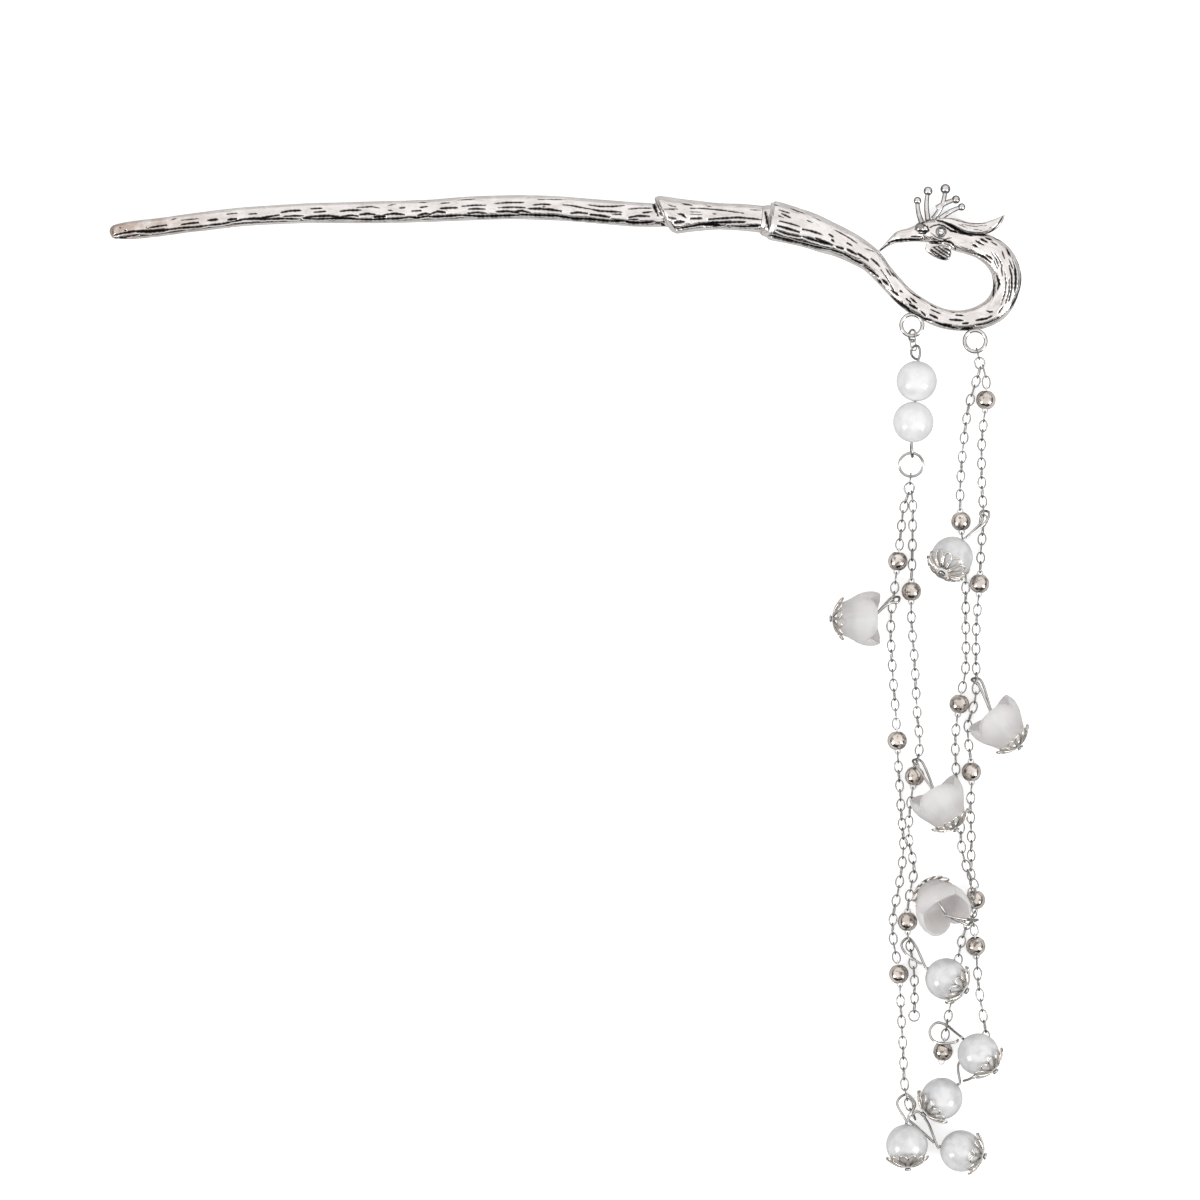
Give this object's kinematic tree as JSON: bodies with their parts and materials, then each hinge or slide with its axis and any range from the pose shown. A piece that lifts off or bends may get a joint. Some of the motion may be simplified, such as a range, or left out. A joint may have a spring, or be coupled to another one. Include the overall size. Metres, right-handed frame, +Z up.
{
  "type": "buyao hairpin",
  "caption": "Curved metal hair stick with a bird's head on a looped neck, hung with pearls, frosted bell flowers and metal beads on fine link chains.",
  "frame": {"origin": "middle of the plan's bounding box, on the surface that the hairpin lies on", "axes": "+X from the stick's tip towards the bird's head, +Y from the chains' free ends towards the stick, +Z up off the surface"},
  "size_m": [0.168, 0.1812, 0.0119],
  "materials": {
    "cast_metal": "antiqued silver colour, dark in the grooves and worn bright on the ridges",
    "chain_metal": "polished silver-coloured wire with a slight warm tarnish",
    "filigree": "thin silver-coloured strip, lightly antiqued",
    "bead_metal": "polished, with a warm tint",
    "pearl": "white nacre with a soft satin gloss",
    "frosted_bell": "frosted and translucent, pale warm grey",
    "eye_stone": "clear faceted crystal, grey at its edge"
  },
  "bodies": {
    "root": {"casting": "cast_metal", "eye_stone": "eye_stone", "ring_top": "chain_metal", "link_top": "chain_metal", "pearl_wire": "chain_metal", "pearl_upper_1": "pearl", "pearl_upper_2": "pearl", "ring_split": "chain_metal", "ring_end": "chain_metal", "chain_left_a": "chain_metal", "chain_left_b": "chain_metal", "chain_right_a": "chain_metal", "chain_right_b": "chain_metal", "bead_left_a_1": "bead_metal", "bead_left_a_2": "bead_metal", "bead_left_a_3": "bead_metal", "bead_left_b_1": "bead_metal", "bead_left_b_2": "bead_metal", "bead_left_b_3": "bead_metal", "bead_right_a_1": "bead_metal", "bead_right_a_2": "bead_metal", "bead_right_a_3": "bead_metal", "bead_right_a_4": "bead_metal", "bead_right_b_1": "bead_metal", "bead_right_b_2": "bead_metal", "bead_right_b_3": "bead_metal", "bead_right_b_4": "bead_metal", "bell_one": "frosted_bell", "bell_two": "frosted_bell", "bell_three": "frosted_bell", "bell_four": "frosted_bell", "pearl_one": "pearl", "pearl_two": "pearl", "pearl_three": "pearl", "pearl_four": "pearl", "pearl_five": "pearl", "pearl_six": "pearl", "bell_one_cap": "filigree", "bell_two_cap": "filigree", "bell_three_cap": "filigree", "bell_four_cap": "filigree", "pearl_one_cap": "filigree", "pearl_two_cap": "filigree", "pearl_three_cap": "filigree", "pearl_four_cap": "filigree", "pearl_five_cap": "filigree", "pearl_six_cap": "filigree", "bell_one_pin": "chain_metal", "bell_two_pin": "chain_metal", "bell_three_pin": "chain_metal", "bell_four_pin": "chain_metal", "pearl_one_pin": "chain_metal", "pearl_two_pin": "chain_metal", "pearl_three_pin": "chain_metal", "pearl_four_pin": "chain_metal", "pearl_five_pin": "chain_metal", "pearl_six_pin": "chain_metal"}
  },
  "joints": []
}
